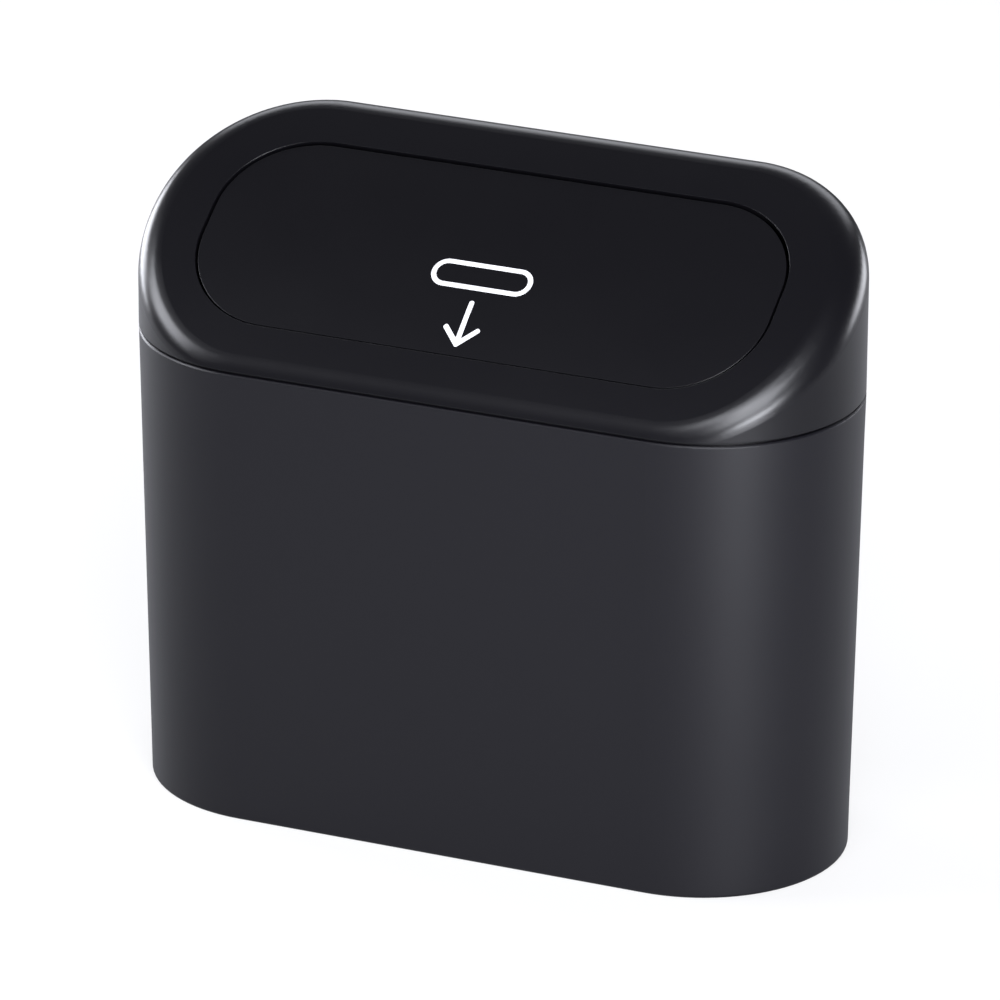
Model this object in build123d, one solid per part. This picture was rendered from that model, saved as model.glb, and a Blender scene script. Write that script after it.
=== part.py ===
from build123d import *
import math
import os

# Lidded bin for a car: a tapered obround bin, a slanted lid with a sprung press flap, and a
# hook that slides into a socket on the back wall. Millimetres. The origin is the middle of
# the base, +X runs along the length, -Y is the low side of the lid and +Z is up.

# Overall sizes
bin_length = 205.0
bin_depth = 85.5
seam_height = 131.0

# Bin
bin_wall = 2.2
bin_floor = 2.6
wall_draft_deg = 1.0
base_edge_radius = 1.0
inner_base_chamfer = 3.0
rim_edge_chamfer = 0.4

# Lid
lid_wall = 2.4
crown_rise = 34.5
crown_slope_deg = 32.0
crown_radius = 320.0
shoulder_radius = 8.5
shadow_groove_height = 0.9
shadow_groove_depth = 1.3
seat_ring_height = 3.0
skirt_depth = 9.0
skirt_wall = 1.8
skirt_clearance = 0.3
grip_rib_width = 1.2
grip_rib_reach = 0.15
grip_rib_setback = 2.0
grip_rib_count = 5

# Lid opening, as margins on the lid's top: the front and back ones run along the slope
opening_end_margin = 19.75
opening_front_margin = 10.4
opening_back_margin = 27.6
opening_end_flat = 10.0

# Press flap: its gap is narrow at the front edge and wide over the hinge
flap_gap = 0.85
flap_gap_shift = 0.35
flap_thickness = 2.2
flap_recess = 0.3
flap_rib_thickness = 1.6
flap_rib_inset = 5.0
flap_rib_depth = 4.0
cross_rib_count = 5
rib_hinge_clearance = 6.0
tongue_end_margin = 14.0
tongue_reach = 2.6
tongue_thickness = 1.8
tongue_play = 0.3
tongue_corner_radius = 2.0
tongue_web_thickness = 2.0
weld_overlap = 0.2

# Hinge
rod_diameter = 3.0
rod_fit_clearance = 0.05
ear_thickness = 3.0
ear_boss_radius = 3.8
ear_from_corner = 7.0
ear_spacing = 24.0
ear_root_margin = 0.6
ear_root_length = 7.0
ear_arm_rise = 1.5
ear_web_rise = 0.8
hinge_side_play = 0.5
knuckle_thickness = 3.8
knuckle_web_reach = 4.0
knuckle_web_drop = 1.6
knuckle_web_foot = 3.0
hinge_from_flap_edge = 5.8
hinge_running_gap = 0.7
clip_radius = 3.2
clip_thickness = 0.8
clip_fit_clearance = 0.02
clip_side_gap = 0.2
rod_end_reach = 0.6

# Torsion springs
spring_wire = 1.0
spring_mean_radius = 2.45
spring_pitch = 1.55
spring_turns = 4
spring_leg_length = 15.0
spring_bend_radius = 1.2
spring_tang_length = 2.2
spring_tang_clearance = 0.15
spring_leg_clearance = 0.3
spring_ear_gap = 0.4
spring_section_sides = 8

# Hook and its socket
hook_width = 44.0
hook_thickness = 2.4
hook_clearance = 0.3
hook_below_rim = 4.0
hook_plate_height = 48.0
hook_gap = 11.0
hook_leg_width = 33.0
hook_leg_height = 39.0
hook_corner_radius = 2.5
hook_shoulder_height = 3.0
socket_height = 38.0
socket_floor = 2.5
socket_side_wall = 3.5
socket_back_wall = 0.8
socket_lip = 2.2
socket_edge_radius = 1.2

# Cutting blocks run this far past the faces that they cut
cut_margin = 1.0

# Sizes that follow
half_length = bin_length / 2
half_depth = bin_depth / 2
crown_tilt = math.radians(crown_slope_deg)
draft_per_mm = math.tan(math.radians(wall_draft_deg))
# The arc's centre lies under the point of the crown above the middle of the base
crown_mid_height = seam_height + crown_rise
crown_centre_y = crown_radius * math.sin(crown_tilt)
crown_centre_z = crown_mid_height - crown_radius * math.cos(crown_tilt)

opening_length = bin_length - 2 * opening_end_margin
opening_width = bin_depth / math.cos(crown_tilt) - opening_front_margin - opening_back_margin
opening_corner_radius = (opening_width - opening_end_flat) / 2
opening_centre_down_slope = (opening_back_margin - opening_front_margin) / 2
opening_straight = opening_length / 2 - opening_corner_radius

outer_ear_centre = opening_straight - ear_from_corner
inner_ear_centre = outer_ear_centre - ear_spacing

hook_top = seam_height - hook_below_rim
hook_plate_bottom = hook_top - hook_plate_height
hook_leg_bottom = hook_top - hook_leg_height

# The flap's own frame: v runs up the slope, w is the outward normal
up_slope = Vector(0, math.cos(crown_tilt), math.sin(crown_tilt))
outward = Vector(0, -math.sin(crown_tilt), math.cos(crown_tilt))


def crown_point(v):
    """The crown's middle point, moved v along the slope and dropped onto the arc."""
    drop = crown_radius - math.sqrt(crown_radius ** 2 - v ** 2)
    return Vector(0, 0, crown_mid_height) + up_slope * v - outward * drop


flap_centre = crown_point(-opening_centre_down_slope)
flap_plane = Plane(origin=flap_centre, x_dir=(1, 0, 0), z_dir=outward)
# Blocks cut out along the flap's normal reach this far each way
flap_reach = 20.0
flap_back_v = opening_width / 2 - flap_gap - flap_gap_shift


def side_plane(x):
    """A plane square to X whose own axes are v and w, with its origin under the flap's centre."""
    return Plane(origin=flap_centre + Vector(x, 0, 0), x_dir=up_slope, z_dir=(1, 0, 0))


def crown_drop(v):
    """How far the crown lies under the flap plane at v."""
    point = crown_point(v - opening_centre_down_slope)
    return (flap_centre - point).dot(outward)


hinge_v = flap_back_v - hinge_from_flap_edge
flap_underside_w = -flap_recess - flap_thickness - crown_drop(hinge_v)
hinge_w = flap_underside_w - hinge_running_gap - ear_boss_radius
hinge_point = flap_centre + up_slope * hinge_v + outward * hinge_w
rod_radius = rod_diameter / 2
clip_start = outer_ear_centre + ear_thickness / 2 + clip_side_gap
rod_length = 2 * (clip_start + clip_thickness + rod_end_reach)


def obround(length, depth):
    """A stadium outline: straight long sides and half-round ends."""
    return SlotOverall(length, depth)


def obround_prism(inset, low, high):
    """An upright obround block, inset from the bin's outline."""
    outline = obround(bin_length - 2 * inset, bin_depth - 2 * inset)
    return extrude(Plane.XY.offset(low) * outline, high - low)


def tapered_obround(inset, low, high):
    """The bin's outer form between two heights, inset by a wall and narrowing downwards."""
    at_low = inset + (seam_height - low) * draft_per_mm
    at_high = inset + (seam_height - high) * draft_per_mm
    bottom = Plane.XY.offset(low) * obround(bin_length - 2 * at_low, bin_depth - 2 * at_low)
    top = Plane.XY.offset(high) * obround(bin_length - 2 * at_high, bin_depth - 2 * at_high)
    return loft([bottom, top], ruled=True)


def under_crown(inset, low):
    """Everything under the lid's crowned top, from a given height."""
    radius = crown_radius - inset
    reach = half_depth + cut_margin
    ends = []
    for y in (-reach, 0, reach):
        height = crown_centre_z + math.sqrt(radius ** 2 - (y - crown_centre_y) ** 2)
        ends.append((y, height))
    arc = ThreePointArc(*ends)
    sides = Polyline(ends[2], (reach, low), (-reach, low), ends[0])
    profile = make_face(Curve() + [arc, sides])
    return extrude(Plane.YZ * profile, half_length + cut_margin, both=True)


def crowned_block(inset):
    """An upright obround cut by the crown, that reaches down past the seam."""
    low = seam_height - 2 * shoulder_radius
    return obround_prism(inset, low, crown_mid_height + bin_depth) & under_crown(inset, low)


def top_edges(form):
    """The edges round the crowned top of a form."""
    return form.faces().filter_by(GeomType.CYLINDER).sort_by(Axis.Z)[-1].edges()


def opening_prism(shrink, reach, shift=0):
    """A block with the opening's outline, along the flap's normal and moved up the slope."""
    outline = RectangleRounded(
        opening_length - 2 * shrink,
        opening_width - 2 * shrink,
        opening_corner_radius - shrink,
    )
    return extrude(flap_plane * Pos(0, shift) * outline, reach, both=True)


def flap_prism(inset):
    """A block with the flap's outline, inset from its edge."""
    return opening_prism(flap_gap + inset, flap_reach, -flap_gap_shift)


def crown_layer(top, thickness):
    """A sheet that follows the crown, from one depth under it."""
    low = crown_mid_height - bin_depth
    return under_crown(top, low) - under_crown(top + thickness, low)


def rod_at(x_low, x_high, radius):
    """A cylinder on the hinge axis."""
    plane = Plane(origin=hinge_point + Vector(x_low, 0, 0), x_dir=up_slope, z_dir=(1, 0, 0))
    return extrude(plane * Circle(radius), x_high - x_low)


def mirrored(side, low, high):
    """A span along X on the chosen side, low end first."""
    span = (side * low, side * high)
    return min(span), max(span)


def make_bin_body():
    outer = tapered_obround(0, 0, seam_height)
    outer = fillet(outer.faces().sort_by(Axis.Z)[0].edges(), base_edge_radius)
    outer = chamfer(outer.faces().sort_by(Axis.Z)[-1].edges(), rim_edge_chamfer)
    cavity = tapered_obround(bin_wall, bin_floor, seam_height)
    cavity = chamfer(cavity.faces().sort_by(Axis.Z)[0].edges(), inner_base_chamfer)
    return outer + make_socket() - cavity - make_socket_slot()


# The hook's plate runs clear of the rim, which is the widest part of the back wall
plate_inner_y = half_depth + socket_back_wall
plate_outer_y = plate_inner_y + hook_thickness
pocket_outer_y = plate_outer_y + hook_clearance
socket_outer_y = pocket_outer_y + socket_lip
socket_bottom = hook_plate_bottom - socket_floor
socket_half_width = hook_width / 2 + hook_clearance + socket_side_wall


def block(x_half, y_low, y_high, z_low, z_high):
    """A box that is symmetrical in X."""
    outline = Pos(0, (y_low + y_high) / 2) * Rectangle(2 * x_half, y_high - y_low)
    return extrude(Plane.XY.offset(z_low) * outline, z_high - z_low)


def make_socket():
    """The moulded block on the back wall that the hook slides into."""
    wall_middle = half_depth - seam_height * draft_per_mm - bin_wall / 2
    socket = block(
        socket_half_width, wall_middle, socket_outer_y, socket_bottom, socket_bottom + socket_height
    )
    outside = socket.faces().sort_by(Axis.Y)[-1]
    return fillet(outside.edges(), socket_edge_radius)


def make_socket_slot():
    """The pocket for the hook's plate and the open mouth in front of it."""
    top = socket_bottom + socket_height + cut_margin
    pocket = block(
        hook_width / 2 + hook_clearance,
        plate_inner_y - hook_clearance,
        pocket_outer_y,
        hook_plate_bottom,
        top,
    )
    mouth = block(
        hook_leg_width / 2 + hook_clearance,
        plate_outer_y,
        socket_outer_y + cut_margin,
        hook_plate_bottom,
        top,
    )
    return pocket + mouth


# The hook's bend is all but a half circle: this much of its top stays straight
least_straight = 0.02


def make_hanging_hook():
    """A flat plate that carries on upwards and folds over into a leg."""
    leg_y = plate_outer_y + hook_gap + hook_thickness / 2
    plate_y = plate_outer_y - hook_thickness / 2
    centre_top = hook_top - hook_thickness / 2
    bend = (leg_y - plate_y - least_straight) / 2
    route = FilletPolyline(
        (plate_y, socket_bottom + socket_height / 2),
        (plate_y, centre_top),
        (leg_y, centre_top),
        (leg_y, hook_leg_bottom),
        radius=bend,
    )
    strip = offset(route, hook_thickness / 2, side=Side.BOTH, closed=True)
    profile = make_face(strip.edges())
    strap = extrude(Plane.YZ * profile, hook_leg_width / 2, both=True)
    plate = block(
        hook_width / 2,
        plate_inner_y,
        plate_outer_y,
        hook_plate_bottom,
        socket_bottom + socket_height + hook_shoulder_height,
    )
    upright = plate.edges().filter_by(Axis.Y)
    plate = fillet(upright, hook_corner_radius)
    return strap + plate


def lid_ring():
    """The seat that rests on the bin's rim, and the skirt that plugs into the bin."""
    skirt_outer = bin_wall + skirt_clearance + skirt_depth * draft_per_mm
    skirt_inner = skirt_outer + skirt_wall
    seat = obround_prism(shadow_groove_depth, seam_height, seam_height + seat_ring_height)
    skirt = obround_prism(skirt_outer, seam_height - skirt_depth, seam_height + seat_ring_height)
    hollow = obround_prism(
        skirt_inner,
        seam_height - skirt_depth - cut_margin,
        seam_height + seat_ring_height + cut_margin,
    )
    ring = seat + skirt - hollow
    spacing = (bin_length - bin_depth) / grip_rib_count
    first_rib = -spacing * (grip_rib_count - 1) / 2
    for side in (-1, 1):
        for index in range(grip_rib_count):
            x = first_rib + index * spacing
            root = half_depth - skirt_inner + weld_overlap
            reach = half_depth - skirt_outer + grip_rib_reach
            outline = Pos(x, side * (root + reach) / 2) * Rectangle(grip_rib_width, reach - root)
            rib_bottom = seam_height - skirt_depth + grip_rib_setback
            ring += extrude(Plane.XY.offset(rib_bottom) * outline, seam_height - rib_bottom)
    return ring


def ear(centre_x):
    """A hinge ear that hangs from the lid behind the opening and holds the rod."""
    root_v = opening_width / 2 + ear_root_margin
    root_w = -crown_drop(root_v) - lid_wall / 2
    root_end_v = root_v + ear_root_length
    root_end_w = -crown_drop(root_end_v) - lid_wall / 2
    boss = Pos(hinge_v, hinge_w) * Circle(ear_boss_radius)
    arm = Polygon(
        (hinge_v, hinge_w - ear_boss_radius),
        (hinge_v, hinge_w + ear_arm_rise),
        (root_v, hinge_w + ear_arm_rise),
        (root_v, root_w),
        (root_end_v, root_end_w),
        (root_end_v, hinge_w + ear_web_rise),
        align=None,
    )
    shape = boss + arm - Pos(hinge_v, hinge_w) * Circle(rod_radius + rod_fit_clearance)
    plane = side_plane(centre_x - ear_thickness / 2)
    return extrude(plane * shape, ear_thickness, dir=(1, 0, 0))


def tang_hole(side):
    """The hole in the inner ear that takes the spring's straight end."""
    spring_axis_point = spring_end(side)
    radius = spring_wire / 2 + spring_tang_clearance
    low, high = mirrored(side, inner_ear_centre - ear_thickness, inner_ear_centre + ear_thickness)
    plane = Plane(
        origin=(low, spring_axis_point.Y, spring_axis_point.Z), x_dir=up_slope, z_dir=(1, 0, 0)
    )
    return extrude(plane * Circle(radius), high - low)


def make_lid_cover():
    outside = crowned_block(0)
    outside = fillet(top_edges(outside), shoulder_radius)
    inside = crowned_block(lid_wall)
    inside = chamfer(top_edges(inside), shoulder_radius - lid_wall)
    shell_bottom = seam_height + shadow_groove_height
    below = obround_prism(-cut_margin, seam_height - bin_depth, shell_bottom)
    cover = outside - inside - below + lid_ring() - opening_prism(0, 3 * lid_wall)
    for side in (-1, 1):
        cover += ear(side * outer_ear_centre)
        cover += ear(side * inner_ear_centre)
    for side in (-1, 1):
        cover -= tang_hole(side)
    return cover


def knuckle(centre_x):
    """A flap knuckle: a round boss on the rod with a web up to the flap's skin."""
    boss = Pos(hinge_v, hinge_w) * Circle(ear_boss_radius)
    top_w = flap_underside_w + flap_thickness / 4
    web = Polygon(
        (hinge_v - ear_boss_radius - knuckle_web_reach, top_w),
        (hinge_v - knuckle_web_foot, hinge_w - knuckle_web_drop),
        (hinge_v + ear_boss_radius, hinge_w),
        (hinge_v + ear_boss_radius, top_w),
        align=None,
    )
    shape = boss + web - Pos(hinge_v, hinge_w) * Circle(rod_radius + rod_fit_clearance)
    plane = side_plane(centre_x - knuckle_thickness / 2)
    return extrude(plane * shape, knuckle_thickness, dir=(1, 0, 0))


def flap_ribs():
    """The stiffening frame and cross ribs under the flap, open at the hinge side."""
    outer = flap_prism(flap_rib_inset)
    inner = flap_prism(flap_rib_inset + flap_rib_thickness)
    frame = outer - inner
    frame_length = opening_length - 2 * (flap_gap + flap_rib_inset)
    spacing = frame_length / (cross_rib_count + 1)
    first = -spacing * (cross_rib_count - 1) / 2
    for index in range(cross_rib_count):
        outline = Pos(first + index * spacing, 0) * Rectangle(flap_rib_thickness, opening_width)
        frame += extrude(flap_plane * outline, flap_reach, both=True) & outer
    rib_end_v = hinge_v - ear_boss_radius - rib_hinge_clearance
    keep = Pos(0, rib_end_v - opening_width) * Rectangle(opening_length, 2 * opening_width)
    return frame & extrude(flap_plane * keep, flap_reach, both=True)


def make_press_flap():
    skin_bottom = flap_recess + flap_thickness
    flap = flap_prism(0) & crown_layer(flap_recess, flap_thickness)
    flap += flap_ribs() & crown_layer(skin_bottom - weld_overlap, flap_rib_depth + weld_overlap)
    # The tongue laps under the lid's front edge and stops the flap flush with the lid
    tongue_top = lid_wall + tongue_play
    tongue_length = 2 * (opening_straight - tongue_end_margin)
    front = -opening_width / 2
    flap_front = front + flap_gap - flap_gap_shift
    tongue_back = flap_front + flap_rib_inset + flap_rib_thickness
    tongue_depth = tongue_back - front + tongue_reach
    outline = Pos(0, tongue_back - tongue_depth / 2) * RectangleRounded(
        tongue_length, tongue_depth, tongue_corner_radius
    )
    tongue = extrude(flap_plane * outline, flap_reach, both=True)
    flap += tongue & crown_layer(tongue_top, tongue_thickness)
    web_length = tongue_length - 2 * tongue_corner_radius
    outline = Pos(0, flap_front + tongue_web_thickness / 2) * Rectangle(
        web_length, tongue_web_thickness
    )
    web = extrude(flap_plane * outline, flap_reach, both=True)
    web_top = skin_bottom - weld_overlap
    flap += web & crown_layer(web_top, tongue_top + tongue_thickness / 2 - web_top)
    knuckle_step = ear_thickness / 2 + hinge_side_play + knuckle_thickness / 2
    for side in (-1, 1):
        flap += knuckle(side * (outer_ear_centre - knuckle_step))
        flap += knuckle(side * (inner_ear_centre - knuckle_step))
    return flap


def make_hinge_rod():
    return rod_at(-rod_length / 2, rod_length / 2, rod_radius)


def make_rod_clips():
    """Push-on washers that keep the rod in the outer ears."""
    clips = []
    for side in (-1, 1):
        low, high = mirrored(side, clip_start, clip_start + clip_thickness)
        bore = rod_at(low - cut_margin, high + cut_margin, rod_radius + clip_fit_clearance)
        clips.append(rod_at(low, high, clip_radius) - bore)
    return Compound(clips)


# The coil's first turn, beside the inner ear
spring_side_x = inner_ear_centre + ear_thickness / 2 + spring_ear_gap + spring_wire / 2
spring_start_x = spring_side_x + spring_bend_radius


def coil_point(side, turn):
    """A point of the coil's centre line, and its direction there."""
    angle = leg_angle() - 2 * math.pi * (spring_turns - turn)
    radial = up_slope * math.cos(angle) + outward * math.sin(angle)
    around = outward * math.cos(angle) - up_slope * math.sin(angle)
    along = Vector(side * spring_pitch, 0, 0)
    x = side * (spring_start_x + spring_pitch * turn)
    point = Vector(x, hinge_point.Y, hinge_point.Z) + radial * spring_mean_radius
    direction = around * (2 * math.pi * spring_mean_radius) + along
    return point, direction.normalized()


def leg_angle():
    """Where the coil lets go, so that the tip of its leg comes up under the flap's skin."""
    tip_v = hinge_v - spring_leg_length
    underside_w = -flap_recess - flap_thickness - crown_drop(tip_v)
    rise = underside_w - hinge_w - spring_leg_clearance - spring_wire / 2
    reach = math.hypot(spring_mean_radius, spring_leg_length)
    return math.pi - math.asin(rise / reach) - math.atan2(spring_leg_length, spring_mean_radius)


def coil_bend(side):
    """The arc from the coil's first turn into the tang that runs along X."""
    start, direction = coil_point(side, 0)
    along = Vector(side, 0, 0)
    turn = math.acos(direction.dot(along))
    sideways = (along - direction * direction.dot(along)).normalized()
    run = -direction * (spring_bend_radius * math.sin(turn))
    centre_side = sideways * (spring_bend_radius * (1 - math.cos(turn)))
    return start + run - centre_side, start, direction


def spring_end(side):
    """The end of the arc, where the straight tang begins."""
    return coil_bend(side)[0]


def biarc(start, start_direction, end, end_direction):
    """Two arcs that join two points and directions smoothly."""
    chord = end - start
    both = start_direction + end_direction
    spread = 2 * (1 - start_direction.dot(end_direction))
    pull = chord.dot(both)
    reach = (-pull + math.sqrt(pull ** 2 + spread * chord.dot(chord))) / spread
    middle = (start + end + (start_direction - end_direction) * reach) * 0.5
    through = (end - end_direction * reach) - (start + start_direction * reach)
    first = Edge.make_tangent_arc(start, start_direction, middle)
    second = Edge.make_tangent_arc(middle, through.normalized(), end)
    return [first, second]


def make_flap_spring(side):
    """A torsion spring: a tang in the ear, turns on the rod and a leg under the flap."""
    bend_start, coil_start, direction = coil_bend(side)
    tang_start = bend_start - Vector(side * spring_tang_length, 0, 0)
    path = [Edge.make_line(tang_start, bend_start)]
    path.append(Edge.make_tangent_arc(bend_start, Vector(side, 0, 0), coil_start))
    for step in range(2 * spring_turns):
        here, here_direction = coil_point(side, step / 2)
        there, there_direction = coil_point(side, (step + 1) / 2)
        path += biarc(here, here_direction, there, there_direction)
    last, last_direction = coil_point(side, spring_turns)
    path.append(Edge.make_line(last, last + last_direction * spring_leg_length))
    wire = Wire(path)
    outline = RegularPolygon(spring_wire / 2, spring_section_sides)
    return sweep(Plane(origin=tang_start, z_dir=(side, 0, 0)) * outline, path=wire, clean=False)


def print_spring_gap():
    """Least gap between one turn of the coil and the next, measured on points."""
    per_turn = 72
    points = [coil_point(1, step / per_turn)[0] for step in range(per_turn * spring_turns + 1)]
    least = min(
        (points[i] - points[j]).length
        for i in range(len(points))
        for j in range(i + per_turn // 2, len(points))
    )
    print("least gap of the spring to itself", round(least - spring_wire, 2), "mm")


os.makedirs("parts", exist_ok=True)
nodes = {
    "bin_body": make_bin_body(),
    "lid_cover": make_lid_cover(),
    "press_flap": make_press_flap(),
    "hinge_rod": make_hinge_rod(),
    "rod_clips": make_rod_clips(),
    "left_flap_spring": make_flap_spring(-1),
    "right_flap_spring": make_flap_spring(1),
    "hanging_hook": make_hanging_hook(),
}
print_spring_gap()
for name, shape in nodes.items():
    export_step(shape, f"parts/{name}.step")
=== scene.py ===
import math

import bmesh
import bpy
from bpy.props import FloatProperty, FloatVectorProperty, PointerProperty
from mathutils import Matrix, Vector
from mathutils.bvhtree import BVHTree


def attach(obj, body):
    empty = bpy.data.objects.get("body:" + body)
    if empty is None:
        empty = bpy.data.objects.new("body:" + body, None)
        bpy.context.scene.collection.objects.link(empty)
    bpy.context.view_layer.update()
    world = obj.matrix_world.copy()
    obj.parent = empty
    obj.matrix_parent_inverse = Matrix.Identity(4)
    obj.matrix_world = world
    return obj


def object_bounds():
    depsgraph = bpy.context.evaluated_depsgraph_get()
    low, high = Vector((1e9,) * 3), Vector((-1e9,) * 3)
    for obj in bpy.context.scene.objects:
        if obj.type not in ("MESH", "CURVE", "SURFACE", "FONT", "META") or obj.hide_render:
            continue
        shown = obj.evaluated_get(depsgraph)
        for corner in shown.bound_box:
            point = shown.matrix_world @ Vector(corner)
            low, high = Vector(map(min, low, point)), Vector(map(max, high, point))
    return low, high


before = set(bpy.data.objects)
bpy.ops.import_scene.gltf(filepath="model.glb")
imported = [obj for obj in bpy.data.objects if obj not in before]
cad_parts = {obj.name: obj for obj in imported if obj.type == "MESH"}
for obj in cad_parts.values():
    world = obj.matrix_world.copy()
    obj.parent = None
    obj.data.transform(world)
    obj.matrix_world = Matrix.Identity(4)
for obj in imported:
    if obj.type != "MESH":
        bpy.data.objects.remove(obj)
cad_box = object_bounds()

bl_info = {
    "name": "Car bin finishes",
    "version": (1, 0, 0),
    "blender": (4, 5, 0),
    "location": "View3D > Sidebar > Car bin",
    "description": "Finishes, press mark and studio for a lidded car bin",
    "category": "Object",
}

MM = 0.001

PLASTIC_IOR = 1.49
LID_SMOOTHER = 0.10
FLAP_SMOOTHER = 0.08
HOOK_ROUGHER = 0.03
# These edge settings lighten the base colour along edges, in patches: a painted sheen.
EDGE_SHEEN_AMOUNT = 2.0
EDGE_SHEEN_LIGHTER = 2.2
GRAIN_DETAIL = 2.0
GRAIN_FINENESS = 0.6
DRIFT_SCALE = 38.0
DRIFT_DETAIL = 3.0
DRIFT_AMOUNT = 0.04
NOISE_MIDDLE = 0.5
EDGE_SAMPLES = 4
# Noise that breaks the painted edge sheen into patches.
SHEEN_PATCH_SCALE = 300.0
SHEEN_PATCH_DETAIL = 2.0

ROD_ROUGHNESS = 0.24
CLIP_ROUGHNESS = 0.36
SPRING_ROUGHNESS = 0.28
DRAW_MARK_SCALE = (60, 4000, 4000)
DRAW_MARK_DETAIL = 3.0
DRAW_MARK_SMOOTHER = 0.06
DRAW_MARK_ROUGHER = 0.10
DRAW_MARK_DARKER = 0.86
DRAW_MARK_STRENGTH = 0.4
DRAW_MARK_DEPTH = 0.01 * MM

INK_ROUGHNESS = 0.45
INK_FILM_SCALE = 1400.0
INK_FILM_DETAIL = 2.0
INK_THIN_SPOTS = 0.93
MARK_BAND = 2 * MM
MARK_LIFT_SHARE = 0.1
PILL_SEGMENTS = 40
ARROW_CORNER_SHARE = 0.42
ARROW_CORNER_SEGMENTS = 4
RAY_START_ABOVE = 0.05

FLOOR_SIZE = 6.0
FLOOR_ROUGHNESS = 0.9
FLOOR_FADE_START = 0.3
FLOOR_FADE_END = 1.8
SURROUND_COLOUR = (0.92, 0.94, 1.0)
SENSOR_WIDTH = 36.0
NEAREST_SEEN = 0.05
FARTHEST_SEEN = 50.0

LAMP_DISTANCE = 0.9
LAMP_AIM_HEIGHT = 0.12
LAMP_COLOUR = (0.92, 0.935, 1.0)
# Name, bearing and elevation in degrees, width and height in metres, power in watts
LAMPS = (
    ("left_low_softbox", 160, 6, 0.46, 0.36, 5.5),
    ("left_softbox", -159, 28, 0.42, 0.40, 5.4),
    ("right_low_softbox", -42, 4, 0.38, 0.26, 7.0),
    ("right_softbox", -55, 32, 0.42, 0.42, 6.0),
    ("right_high_softbox", -74, 49, 0.42, 0.34, 3.0),
    ("right_back_softbox", 50, 4, 0.60, 0.24, 3.4),
    ("back_softbox", 106, 30, 1.00, 0.40, 3.0),
)


class CarBinPlastics(bpy.types.PropertyGroup):
    """Colours and surface of the moulded pieces."""

    bin_colour: FloatVectorProperty(
        name="Bin colour",
        description="Colour of the bin's moulded plastic",
        subtype="COLOR", size=3, min=0, max=1,
        default=(0.0040, 0.0037, 0.0060),
    )
    lid_colour: FloatVectorProperty(
        name="Lid colour",
        description="Colour of the lid's moulded plastic",
        subtype="COLOR", size=3, min=0, max=1,
        default=(0.0042, 0.0040, 0.0054),
    )
    flap_colour: FloatVectorProperty(
        name="Flap colour",
        description="Colour of the press flap",
        subtype="COLOR", size=3, min=0, max=1,
        default=(0.0038, 0.0036, 0.0049),
    )
    hook_colour: FloatVectorProperty(
        name="Hook colour",
        description="Colour of the hanging hook",
        subtype="COLOR", size=3, min=0, max=1,
        default=(0.0064, 0.0062, 0.0080),
    )
    roughness: FloatProperty(
        name="Roughness",
        description="How dull the bin's satin moulding texture is",
        min=0, max=1, default=0.39,
    )
    grain_size: FloatProperty(
        name="Grain size",
        description="Width of one grain of the moulding texture",
        unit="LENGTH", min=0.1 * MM, max=2 * MM, default=0.45 * MM,
    )
    grain_depth: FloatProperty(
        name="Grain depth",
        description="Depth of the moulding texture",
        unit="LENGTH", min=0, max=0.1 * MM, default=0.010 * MM,
    )
    # This width sets the band along edges where the colour is lightened: a painted sheen.
    edge_width: FloatProperty(
        name="Edge width",
        description="Width of the painted sheen along edges",
        unit="LENGTH", min=0, max=2 * MM, default=0.35 * MM,
    )


class CarBinSteel(bpy.types.PropertyGroup):
    """Colours of the hinge's steel pieces."""

    rod_colour: FloatVectorProperty(
        name="Rod colour",
        description="Colour of the drawn steel rod",
        subtype="COLOR", size=3, min=0, max=1,
        default=(0.56, 0.55, 0.54),
    )
    spring_colour: FloatVectorProperty(
        name="Spring colour",
        description="Colour of the stainless spring wire",
        subtype="COLOR", size=3, min=0, max=1,
        default=(0.50, 0.49, 0.47),
    )
    clip_colour: FloatVectorProperty(
        name="Clip colour",
        description="Colour of the push-on washers",
        subtype="COLOR", size=3, min=0, max=1,
        default=(0.40, 0.38, 0.35),
    )


class CarBinMark(bpy.types.PropertyGroup):
    """The printed mark that shows where the flap is pressed."""

    ink_colour: FloatVectorProperty(
        name="Ink colour",
        description="Colour of the printed mark",
        subtype="COLOR", size=3, min=0, max=1,
        default=(0.90, 0.90, 0.91),
    )
    bar_length: FloatProperty(
        name="Bar length",
        description="Length of the outlined bar",
        unit="LENGTH", min=0, default=29.0 * MM,
    )
    bar_height: FloatProperty(
        name="Bar height",
        description="Height of the outlined bar, along the slope",
        unit="LENGTH", min=0, default=8.6 * MM,
    )
    arrow_width: FloatProperty(
        name="Arrow width",
        description="Width of the arrow's head",
        unit="LENGTH", min=0, default=11.0 * MM,
    )
    arrow_length: FloatProperty(
        name="Arrow length",
        description="Length of the arrow, along the slope",
        unit="LENGTH", min=0, default=14.0 * MM,
    )
    stroke: FloatProperty(
        name="Stroke",
        description="Width of the printed lines",
        unit="LENGTH", min=0, default=1.4 * MM,
    )
    flap_middle: FloatProperty(
        name="Flap middle",
        description="How far back the middle of the flap's top is, along Y",
        unit="LENGTH", default=-7.2 * MM,
    )
    slope: FloatProperty(
        name="Slope",
        description="The flap's slope at its middle",
        subtype="ANGLE", default=math.radians(31.8),
    )
    bar_place: FloatProperty(
        name="Bar place",
        description="Distance down the slope from the flap's middle to the bar's middle",
        unit="LENGTH", default=5.5 * MM,
    )
    arrow_place: FloatProperty(
        name="Arrow place",
        description="Distance down the slope from the flap's middle to the arrow's middle",
        unit="LENGTH", default=20.0 * MM,
    )
    ink_thickness: FloatProperty(
        name="Ink thickness",
        description="Thickness of the printed ink",
        unit="LENGTH", min=0, default=0.04 * MM,
    )


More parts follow.
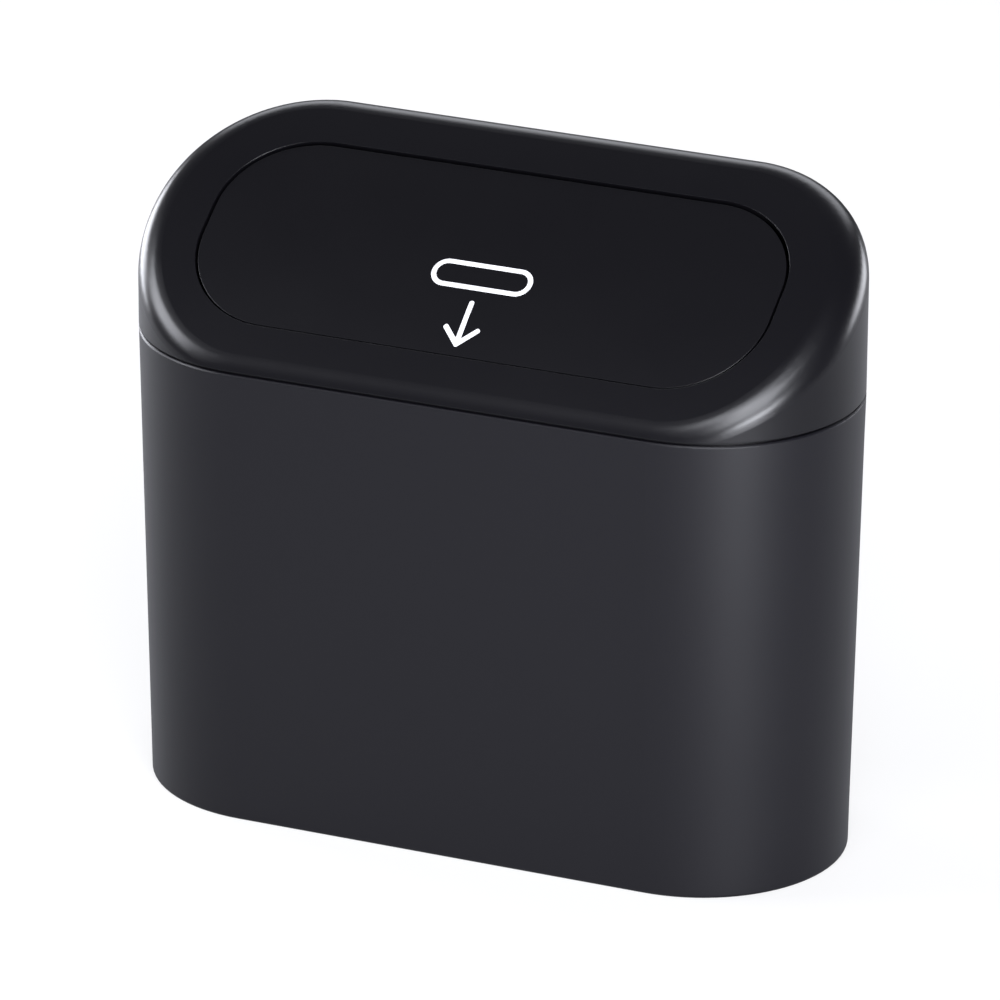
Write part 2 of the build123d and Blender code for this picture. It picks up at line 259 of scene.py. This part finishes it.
class CarBinStudio(bpy.types.PropertyGroup):
    """Camera, floor and lamps."""

    azimuth: FloatProperty(
        name="Azimuth",
        description="How far the camera stands round to the right of the bin's front",
        subtype="ANGLE", default=math.radians(22.99),
    )
    elevation: FloatProperty(
        name="Elevation",
        description="How far the camera looks down",
        subtype="ANGLE", default=math.radians(22.155),
    )
    roll: FloatProperty(
        name="Roll",
        description="Turn of the camera about its own line of sight",
        subtype="ANGLE", default=math.radians(0.294),
    )
    distance: FloatProperty(
        name="Distance",
        description="Distance from the camera to the point it looks at",
        unit="LENGTH", default=2.2230,
    )
    focal_length: FloatProperty(
        name="Focal length",
        description="The camera's focal length in millimetres, for a sensor 36 mm wide",
        default=295.1,
    )
    look_height: FloatProperty(
        name="Look height",
        description="Height of the point that the view is framed on",
        unit="LENGTH", default=0.075,
    )
    look_right: FloatProperty(
        name="Look right",
        description="Shift of that point to the camera's right",
        unit="LENGTH", default=0.0005,
    )
    look_up: FloatProperty(
        name="Look up",
        description="Shift of that point along the camera's upward axis",
        unit="LENGTH", default=0.01293,
    )
    floor_colour: FloatVectorProperty(
        name="Floor colour",
        description="Colour of the plain pale floor",
        subtype="COLOR", size=3, min=0, max=1,
        default=(0.80, 0.80, 0.81),
    )
    surround: FloatProperty(
        name="Surround",
        description="Strength of the even light from all round",
        min=0, default=0.05,
    )
    floor_bounce: FloatProperty(
        name="Floor bounce",
        description="Share of the floor's colour that lights the bin and shows in its gloss",
        min=0, max=1, default=0.45,
    )
    floor_shading: FloatProperty(
        name="Floor shading",
        description="Share of the floor's whiteness, near the bin, that its light and shadow make",
        min=0, max=1, default=0.28,
    )


def value_node(nodes, kind, **settings):
    """A shader node with its sockets or properties set by name."""
    node = nodes.new(kind)
    for name, value in settings.items():
        if name in node.inputs:
            node.inputs[name].default_value = value
        else:
            setattr(node, name, value)
    return node


def new_group(name, inputs, outputs):
    """A shader node group with named sockets: (name, kind, default) in, (name, kind) out."""
    group = bpy.data.node_groups.new(name, "ShaderNodeTree")
    for socket_name, kind, default in inputs:
        socket = group.interface.new_socket(socket_name, in_out="INPUT", socket_type=kind)
        socket.default_value = default
    for socket_name, kind in outputs:
        group.interface.new_socket(socket_name, in_out="OUTPUT", socket_type=kind)
    start = group.nodes.new("NodeGroupInput")
    end = group.nodes.new("NodeGroupOutput")
    return group, start, end


def moulding_grain_group():
    """Fine spark-eroded mould texture: a height, and a roughness that drifts slowly."""
    group, start, end = new_group(
        "Moulding grain",
        [
            ("Grain Size", "NodeSocketFloat", 0.45 * MM),
            ("Grain Depth", "NodeSocketFloat", 0.01 * MM),
            ("Roughness", "NodeSocketFloat", 0.4),
            ("Drift", "NodeSocketFloat", DRIFT_AMOUNT),
        ],
        [("Height", "NodeSocketFloat"), ("Roughness", "NodeSocketFloat")],
    )
    nodes = group.nodes
    links = group.links
    place = nodes.new("ShaderNodeTexCoord")
    scale = value_node(nodes, "ShaderNodeMath", operation="DIVIDE")
    scale.inputs[0].default_value = 1
    links.new(start.outputs["Grain Size"], scale.inputs[1])
    fine = value_node(
        nodes, "ShaderNodeTexNoise", Detail=GRAIN_DETAIL, Roughness=GRAIN_FINENESS
    )
    links.new(place.outputs["Object"], fine.inputs["Vector"])
    links.new(scale.outputs[0], fine.inputs["Scale"])
    height = value_node(nodes, "ShaderNodeMath", operation="MULTIPLY")
    links.new(fine.outputs["Fac"], height.inputs[0])
    links.new(start.outputs["Grain Depth"], height.inputs[1])
    links.new(height.outputs[0], end.inputs["Height"])
    slow = value_node(nodes, "ShaderNodeTexNoise", Scale=DRIFT_SCALE, Detail=DRIFT_DETAIL)
    links.new(place.outputs["Object"], slow.inputs["Vector"])
    centred = value_node(nodes, "ShaderNodeMath", operation="SUBTRACT")
    centred.inputs[1].default_value = NOISE_MIDDLE
    links.new(slow.outputs["Fac"], centred.inputs[0])
    drift = value_node(nodes, "ShaderNodeMath", operation="MULTIPLY_ADD")
    links.new(centred.outputs[0], drift.inputs[0])
    links.new(start.outputs["Drift"], drift.inputs[1])
    links.new(start.outputs["Roughness"], drift.inputs[2])
    links.new(drift.outputs[0], end.inputs["Roughness"])
    return group


def edge_sheen_group():
    """Painted sheen along edges: a patchy mask where the colour is lightened, and a normal that
    rounds the hard edge.
    """
    group, start, end = new_group(
        "Painted edge sheen",
        [("Width", "NodeSocketFloat", 0.35 * MM), ("Amount", "NodeSocketFloat", 0.5)],
        [("Mask", "NodeSocketFloat"), ("Normal", "NodeSocketVector")],
    )
    nodes = group.nodes
    links = group.links
    rounded = value_node(nodes, "ShaderNodeBevel", samples=EDGE_SAMPLES)
    links.new(start.outputs["Width"], rounded.inputs["Radius"])
    links.new(rounded.outputs["Normal"], end.inputs["Normal"])
    surface = nodes.new("ShaderNodeNewGeometry")
    turn = value_node(nodes, "ShaderNodeVectorMath", operation="DOT_PRODUCT")
    links.new(rounded.outputs["Normal"], turn.inputs[0])
    links.new(surface.outputs["Normal"], turn.inputs[1])
    bent = value_node(nodes, "ShaderNodeMath", operation="SUBTRACT", use_clamp=True)
    bent.inputs[0].default_value = 1
    links.new(turn.outputs["Value"], bent.inputs[1])
    place = nodes.new("ShaderNodeTexCoord")
    patchy = value_node(
        nodes, "ShaderNodeTexNoise", Scale=SHEEN_PATCH_SCALE, Detail=SHEEN_PATCH_DETAIL
    )
    links.new(place.outputs["Object"], patchy.inputs["Vector"])
    broken = value_node(nodes, "ShaderNodeMath", operation="MULTIPLY")
    links.new(bent.outputs[0], broken.inputs[0])
    links.new(patchy.outputs["Fac"], broken.inputs[1])
    mask = value_node(nodes, "ShaderNodeMath", operation="MULTIPLY", use_clamp=True)
    links.new(broken.outputs[0], mask.inputs[0])
    links.new(start.outputs["Amount"], mask.inputs[1])
    links.new(mask.outputs[0], end.inputs["Mask"])
    return group


def new_material(name):
    """A material with a Principled shader on its output."""
    material = bpy.data.materials.new(name)
    material.use_nodes = True
    nodes = material.node_tree.nodes
    nodes.clear()
    shader = nodes.new("ShaderNodeBsdfPrincipled")
    output = nodes.new("ShaderNodeOutputMaterial")
    material.node_tree.links.new(shader.outputs["BSDF"], output.inputs["Surface"])
    return material, nodes, material.node_tree.links, shader


def satin_plastic(name, colour, roughness, groups, plastics):
    """Black moulded plastic: fine grain, slow roughness drift and a painted sheen that lightens
    the colour along the edges.
    """
    material, nodes, links, shader = new_material(name)
    texture = nodes.new("ShaderNodeGroup")
    texture.node_tree = groups["grain"]
    texture.inputs["Grain Size"].default_value = plastics.grain_size
    texture.inputs["Grain Depth"].default_value = plastics.grain_depth
    texture.inputs["Roughness"].default_value = roughness
    edges = nodes.new("ShaderNodeGroup")
    edges.node_tree = groups["edges"]
    edges.inputs["Width"].default_value = plastics.edge_width
    edges.inputs["Amount"].default_value = EDGE_SHEEN_AMOUNT
    # Lighter colour along the edges: a painted sheen.
    colours = value_node(nodes, "ShaderNodeMix", data_type="RGBA")
    colours.inputs["A"].default_value = (*colour, 1)
    lighter = (min(1, c * EDGE_SHEEN_LIGHTER) for c in colour)
    colours.inputs["B"].default_value = (*lighter, 1)
    links.new(edges.outputs["Mask"], colours.inputs["Factor"])
    links.new(colours.outputs["Result"], shader.inputs["Base Color"])
    links.new(texture.outputs["Roughness"], shader.inputs["Roughness"])
    bump = value_node(nodes, "ShaderNodeBump", Strength=1.0, Distance=1.0)
    links.new(texture.outputs["Height"], bump.inputs["Height"])
    links.new(edges.outputs["Normal"], bump.inputs["Normal"])
    links.new(bump.outputs["Normal"], shader.inputs["Normal"])
    shader.inputs["IOR"].default_value = PLASTIC_IOR
    return material


def drawn_steel(name, colour, roughness):
    """Steel with fine marks along X, the way the rod and the wire were drawn."""
    material, nodes, links, shader = new_material(name)
    place = nodes.new("ShaderNodeTexCoord")
    stretch = value_node(nodes, "ShaderNodeMapping", vector_type="POINT")
    stretch.inputs["Scale"].default_value = DRAW_MARK_SCALE
    links.new(place.outputs["Object"], stretch.inputs["Vector"])
    marks = value_node(nodes, "ShaderNodeTexNoise", Scale=1.0, Detail=DRAW_MARK_DETAIL)
    links.new(stretch.outputs["Vector"], marks.inputs["Vector"])
    dull = value_node(nodes, "ShaderNodeMapRange")
    dull.inputs["To Min"].default_value = roughness - DRAW_MARK_SMOOTHER
    dull.inputs["To Max"].default_value = roughness + DRAW_MARK_ROUGHER
    links.new(marks.outputs["Fac"], dull.inputs["Value"])
    links.new(dull.outputs["Result"], shader.inputs["Roughness"])
    tint = value_node(nodes, "ShaderNodeMix", data_type="RGBA")
    tint.inputs["A"].default_value = (*(c * DRAW_MARK_DARKER for c in colour), 1)
    tint.inputs["B"].default_value = (*colour, 1)
    links.new(marks.outputs["Fac"], tint.inputs["Factor"])
    links.new(tint.outputs["Result"], shader.inputs["Base Color"])
    shader.inputs["Metallic"].default_value = 1.0
    bump = value_node(
        nodes, "ShaderNodeBump", Strength=DRAW_MARK_STRENGTH, Distance=DRAW_MARK_DEPTH
    )
    links.new(marks.outputs["Fac"], bump.inputs["Height"])
    links.new(bump.outputs["Normal"], shader.inputs["Normal"])
    return material


def printed_ink(name, colour):
    """Thin white pad-printed ink, with a little of its unevenness."""
    material, nodes, links, shader = new_material(name)
    place = nodes.new("ShaderNodeTexCoord")
    film = value_node(
        nodes, "ShaderNodeTexNoise", Scale=INK_FILM_SCALE, Detail=INK_FILM_DETAIL
    )
    links.new(place.outputs["Object"], film.inputs["Vector"])
    tone = value_node(nodes, "ShaderNodeMix", data_type="RGBA")
    tone.inputs["A"].default_value = (*(c * INK_THIN_SPOTS for c in colour), 1)
    tone.inputs["B"].default_value = (*colour, 1)
    links.new(film.outputs["Fac"], tone.inputs["Factor"])
    links.new(tone.outputs["Result"], shader.inputs["Base Color"])
    shader.inputs["Roughness"].default_value = INK_ROUGHNESS
    return material


def finish_node(node, material):
    """Puts one material on every slot of a CAD node."""
    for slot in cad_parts[node].material_slots:
        slot.link = "OBJECT"
        slot.material = material


def shared_groups():
    """The node groups that several materials use, built once."""
    found = bpy.data.node_groups
    grain = found.get("Moulding grain") or moulding_grain_group()
    edges = found.get("Painted edge sheen") or edge_sheen_group()
    return {"grain": grain, "edges": edges}


def drop_onto_flap(point, tree, height):
    """The point of the flap's top under a plan point, raised by a height along its normal."""
    start = Vector((point.x, point.y, cad_box[1].z + RAY_START_ABOVE))
    spot, normal, _, _ = tree.ray_cast(start, Vector((0, 0, -1)))
    if spot is None:
        raise RuntimeError("the press mark runs off the flap")
    return spot + normal * height


def outlined(mesh, face, stroke):
    """Turns a filled face into a line of even width round its edge."""
    bmesh.ops.inset_region(
        mesh, faces=[face], thickness=stroke, use_boundary=True, use_even_offset=True
    )
    bmesh.ops.delete(mesh, geom=[face], context="FACES_ONLY")


def pill_outline(mesh, length, height, centre, stroke):
    """An outlined bar with round ends."""
    made = bmesh.ops.create_circle(
        mesh, cap_ends=True, segments=PILL_SEGMENTS, radius=height / 2
    )
    verts = made["verts"]
    half_step = Matrix.Rotation(math.pi / PILL_SEGMENTS, 3, "Z")
    bmesh.ops.rotate(mesh, verts=verts, cent=(0, 0, 0), matrix=half_step)
    pull = (length - height) / 2
    for side in (-1, 1):
        end = [v for v in verts if v.co.x * side > 0]
        bmesh.ops.translate(mesh, verts=end, vec=(side * pull, 0, 0))
    bmesh.ops.translate(mesh, verts=verts, vec=(0, centre, 0))
    outlined(mesh, verts[0].link_faces[0], stroke)


def line_arrow(mesh, width, length, centre, stroke):
    """An arrow of even strokes that points down the slope."""
    tip = centre - length / 2
    half = stroke / 2
    slant = stroke * math.sqrt(0.5)
    reach = width / 2
    corners = (
        (0, tip),
        (reach, tip + reach),
        (reach - slant, tip + reach + slant),
        (half, tip + half + 2 * slant),
        (half, tip + length),
        (-half, tip + length),
        (-half, tip + half + 2 * slant),
        (slant - reach, tip + reach + slant),
        (-reach, tip + reach),
    )
    verts = [mesh.verts.new((x, y, 0)) for x, y in corners]
    mesh.faces.new(verts)
    bmesh.ops.bevel(
        mesh, geom=verts, offset=stroke * ARROW_CORNER_SHARE, offset_type="OFFSET",
        segments=ARROW_CORNER_SEGMENTS, profile=0.5, affect="VERTICES", material=-1,
    )


def cut_in_bands(mesh, step):
    """Cuts across the mark, so that it can bend over the flap's crown."""
    low = min(v.co.y for v in mesh.verts)
    high = max(v.co.y for v in mesh.verts)
    for index in range(1, int((high - low) / step) + 1):
        everything = mesh.verts[:] + mesh.edges[:] + mesh.faces[:]
        bmesh.ops.bisect_plane(
            mesh, geom=everything, plane_co=(0, low + index * step, 0), plane_no=(0, 1, 0)
        )


class CARBIN_OT_mouldings(bpy.types.Operator):
    """Give the bin, lid, flap and hook their moulded plastic"""

    bl_idname = "carbin.mouldings"
    bl_label = "Mouldings"

    def execute(self, context):
        plastics = context.scene.car_bin_plastics
        groups = shared_groups()
        base = plastics.roughness
        bin_plastic = satin_plastic("bin_plastic", plastics.bin_colour, base, groups, plastics)
        finish_node("bin_body", bin_plastic)
        lid_plastic = satin_plastic(
            "lid_plastic", plastics.lid_colour, base - LID_SMOOTHER, groups, plastics
        )
        finish_node("lid_cover", lid_plastic)
        flap_plastic = satin_plastic(
            "flap_plastic", plastics.flap_colour, base - FLAP_SMOOTHER, groups, plastics
        )
        finish_node("press_flap", flap_plastic)
        hook_plastic = satin_plastic(
            "hook_plastic", plastics.hook_colour, base + HOOK_ROUGHER, groups, plastics
        )
        finish_node("hanging_hook", hook_plastic)
        return {"FINISHED"}


class CARBIN_OT_hinge_steel(bpy.types.Operator):
    """Give the hinge rod, its clips and the springs their steel"""

    bl_idname = "carbin.hinge_steel"
    bl_label = "Hinge steel"

    def execute(self, context):
        steel = context.scene.car_bin_steel
        finish_node("hinge_rod", drawn_steel("rod_steel", steel.rod_colour, ROD_ROUGHNESS))
        finish_node("rod_clips", drawn_steel("clip_steel", steel.clip_colour, CLIP_ROUGHNESS))
        wire = drawn_steel("spring_steel", steel.spring_colour, SPRING_ROUGHNESS)
        finish_node("left_flap_spring", wire)
        finish_node("right_flap_spring", wire)
        return {"FINISHED"}


class CARBIN_OT_press_mark(bpy.types.Operator):
    """Print the press mark on the flap"""

    bl_idname = "carbin.press_mark"
    bl_label = "Press mark"

    def execute(self, context):
        mark = context.scene.car_bin_mark
        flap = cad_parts["press_flap"]
        tree = BVHTree.FromObject(flap, context.evaluated_depsgraph_get())
        mesh = bmesh.new()
        pill_outline(mesh, mark.bar_length, mark.bar_height, -mark.bar_place, mark.stroke)
        line_arrow(mesh, mark.arrow_width, mark.arrow_length, -mark.arrow_place, mark.stroke)
        bmesh.ops.triangulate(mesh, faces=mesh.faces[:])
        cut_in_bands(mesh, MARK_BAND)
        for vert in mesh.verts:
            plan = Vector((vert.co.x, mark.flap_middle + vert.co.y * math.cos(mark.slope), 0))
            vert.co = drop_onto_flap(plan, tree, MARK_LIFT_SHARE * mark.ink_thickness)
        film = bmesh.ops.extrude_face_region(mesh, geom=mesh.faces[:])
        top = [part for part in film["geom"] if isinstance(part, bmesh.types.BMVert)]
        lift = Vector((0, -math.sin(mark.slope), math.cos(mark.slope))) * mark.ink_thickness
        bmesh.ops.translate(mesh, verts=top, vec=lift)
        bmesh.ops.recalc_face_normals(mesh, faces=mesh.faces[:])
        data = bpy.data.meshes.new("press_mark")
        mesh.to_mesh(data)
        mesh.free()
        piece = bpy.data.objects.new("press_mark", data)
        context.scene.collection.objects.link(piece)
        data.materials.append(printed_ink("mark_ink", mark.ink_colour))
        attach(piece, "flap")
        return {"FINISHED"}


def studio_floor(studio):
    """A wide pale floor, shown near white to the camera and kept plain for the lamps."""
    mesh = bmesh.new()
    bmesh.ops.create_grid(mesh, x_segments=1, y_segments=1, size=FLOOR_SIZE)
    data = bpy.data.meshes.new("studio_floor")
    mesh.to_mesh(data)
    mesh.free()
    floor = bpy.data.objects.new("studio_floor", data)
    bpy.context.scene.collection.objects.link(floor)
    material, nodes, links, shader = new_material("floor_paint")
    shader.inputs["Roughness"].default_value = FLOOR_ROUGHNESS
    shader.inputs["Emission Color"].default_value = (1, 1, 1, 1)
    path = nodes.new("ShaderNodeLightPath")
    paint = value_node(nodes, "ShaderNodeMix", data_type="RGBA")
    bounced = (c * studio.floor_bounce for c in studio.floor_colour)
    shaded = (c * studio.floor_shading for c in studio.floor_colour)
    paint.inputs["A"].default_value = (*bounced, 1)
    paint.inputs["B"].default_value = (*shaded, 1)
    links.new(path.outputs["Is Camera Ray"], paint.inputs["Factor"])
    links.new(paint.outputs["Result"], shader.inputs["Base Color"])
    place = nodes.new("ShaderNodeTexCoord")
    reach = value_node(nodes, "ShaderNodeVectorMath", operation="LENGTH")
    links.new(place.outputs["Object"], reach.inputs[0])
    fade = value_node(nodes, "ShaderNodeMapRange", interpolation_type="SMOOTHSTEP")
    fade.inputs["From Min"].default_value = FLOOR_FADE_START
    fade.inputs["From Max"].default_value = FLOOR_FADE_END
    fade.inputs["To Min"].default_value = 1 - studio.floor_shading
    fade.inputs["To Max"].default_value = 1
    links.new(reach.outputs["Value"], fade.inputs["Value"])
    lift = value_node(nodes, "ShaderNodeMath", operation="MULTIPLY")
    links.new(fade.outputs["Result"], lift.inputs[0])
    links.new(path.outputs["Is Camera Ray"], lift.inputs[1])
    links.new(lift.outputs[0], shader.inputs["Emission Strength"])
    data.materials.append(material)


def studio_world(studio):
    """An even surround that is white behind the bin and dim on it."""
    world = bpy.data.worlds.new("studio_world")
    world.use_nodes = True
    nodes = world.node_tree.nodes
    links = world.node_tree.links
    nodes.clear()
    path = nodes.new("ShaderNodeLightPath")
    dim = value_node(
        nodes, "ShaderNodeBackground", Color=(*SURROUND_COLOUR, 1), Strength=studio.surround
    )
    white = value_node(nodes, "ShaderNodeBackground", Color=(1, 1, 1, 1), Strength=1.0)
    choose = nodes.new("ShaderNodeMixShader")
    output = nodes.new("ShaderNodeOutputWorld")
    links.new(path.outputs["Is Camera Ray"], choose.inputs[0])
    links.new(dim.outputs[0], choose.inputs[1])
    links.new(white.outputs[0], choose.inputs[2])
    links.new(choose.outputs[0], output.inputs["Surface"])
    bpy.context.scene.world = world


def softbox(name, bearing, elevation, width, tall, watts):
    """A rectangular lamp in a direction from the bin, aimed at the lid."""
    data = bpy.data.lights.new(name, "AREA")
    data.shape = "RECTANGLE"
    data.size = width
    data.size_y = tall
    data.energy = watts
    data.color = LAMP_COLOUR
    lamp = bpy.data.objects.new(name, data)
    turn = math.radians(bearing)
    rise = math.radians(elevation)
    level = math.cos(rise)
    away = Vector((math.cos(turn) * level, math.sin(turn) * level, math.sin(rise)))
    lamp.location = Vector((0, 0, LAMP_AIM_HEIGHT)) + away * LAMP_DISTANCE
    lamp.rotation_mode = "QUATERNION"
    lamp.rotation_quaternion = (-away).to_track_quat("-Z", "Y")
    bpy.context.scene.collection.objects.link(lamp)


def studio_camera(studio):
    """The camera at the photograph's view."""
    azimuth = studio.azimuth
    elevation = studio.elevation
    back = Vector((
        math.sin(azimuth) * math.cos(elevation),
        -math.cos(azimuth) * math.cos(elevation),
        math.sin(elevation),
    ))
    flat_right = Vector((math.cos(azimuth), math.sin(azimuth), 0))
    flat_up = back.cross(flat_right)
    right = flat_right * math.cos(studio.roll) + flat_up * math.sin(studio.roll)
    up = flat_up * math.cos(studio.roll) - flat_right * math.sin(studio.roll)
    look = Vector((0, 0, studio.look_height)) + right * studio.look_right + up * studio.look_up
    data = bpy.data.cameras.new("photo_camera")
    data.sensor_width = SENSOR_WIDTH
    data.lens = studio.focal_length
    data.clip_start = NEAREST_SEEN
    data.clip_end = FARTHEST_SEEN
    camera = bpy.data.objects.new("photo_camera", data)
    camera.location = look + back * studio.distance
    camera.rotation_mode = "QUATERNION"
    camera.rotation_quaternion = Matrix((right, up, back)).transposed().to_quaternion()
    bpy.context.scene.collection.objects.link(camera)
    bpy.context.scene.camera = camera


class CARBIN_OT_stage(bpy.types.Operator):
    """Set the floor, the lamps and the camera"""

    bl_idname = "carbin.stage"
    bl_label = "Studio"

    def execute(self, context):
        studio = context.scene.car_bin_studio
        studio_floor(studio)
        studio_world(studio)
        for lamp in LAMPS:
            softbox(*lamp)
        studio_camera(studio)
        context.scene.view_settings.view_transform = "Standard"
        return {"FINISHED"}


class CARBIN_PT_panel(bpy.types.Panel):
    """The car bin's settings and pieces"""

    bl_idname = "CARBIN_PT_panel"
    bl_label = "Car bin"
    bl_space_type = "VIEW_3D"
    bl_region_type = "UI"
    bl_category = "Car bin"

    def draw(self, context):
        for settings, operators in PANEL_ROWS:
            box = self.layout.box()
            group = getattr(context.scene, settings)
            for name in group.__annotations__:
                box.prop(group, name)
            for operator in operators:
                box.operator(operator)


PANEL_ROWS = (
    ("car_bin_plastics", ("carbin.mouldings",)),
    ("car_bin_steel", ("carbin.hinge_steel",)),
    ("car_bin_mark", ("carbin.press_mark",)),
    ("car_bin_studio", ("carbin.stage",)),
)

SETTINGS = (
    ("car_bin_plastics", CarBinPlastics),
    ("car_bin_steel", CarBinSteel),
    ("car_bin_mark", CarBinMark),
    ("car_bin_studio", CarBinStudio),
)

OPERATORS = (
    CARBIN_OT_mouldings,
    CARBIN_OT_hinge_steel,
    CARBIN_OT_press_mark,
    CARBIN_OT_stage,
    CARBIN_PT_panel,
)


def register():
    for name, settings in SETTINGS:
        bpy.utils.register_class(settings)
        setattr(bpy.types.Scene, name, PointerProperty(type=settings))
    for operator in OPERATORS:
        bpy.utils.register_class(operator)


def unregister():
    for operator in reversed(OPERATORS):
        bpy.utils.unregister_class(operator)
    for name, settings in reversed(SETTINGS):
        delattr(bpy.types.Scene, name)
        bpy.utils.unregister_class(settings)


def main():
    register()
    bpy.ops.carbin.mouldings()
    bpy.ops.carbin.hinge_steel()
    bpy.ops.carbin.press_mark()
    bpy.ops.carbin.stage()


if __name__ == "__main__":
    main()
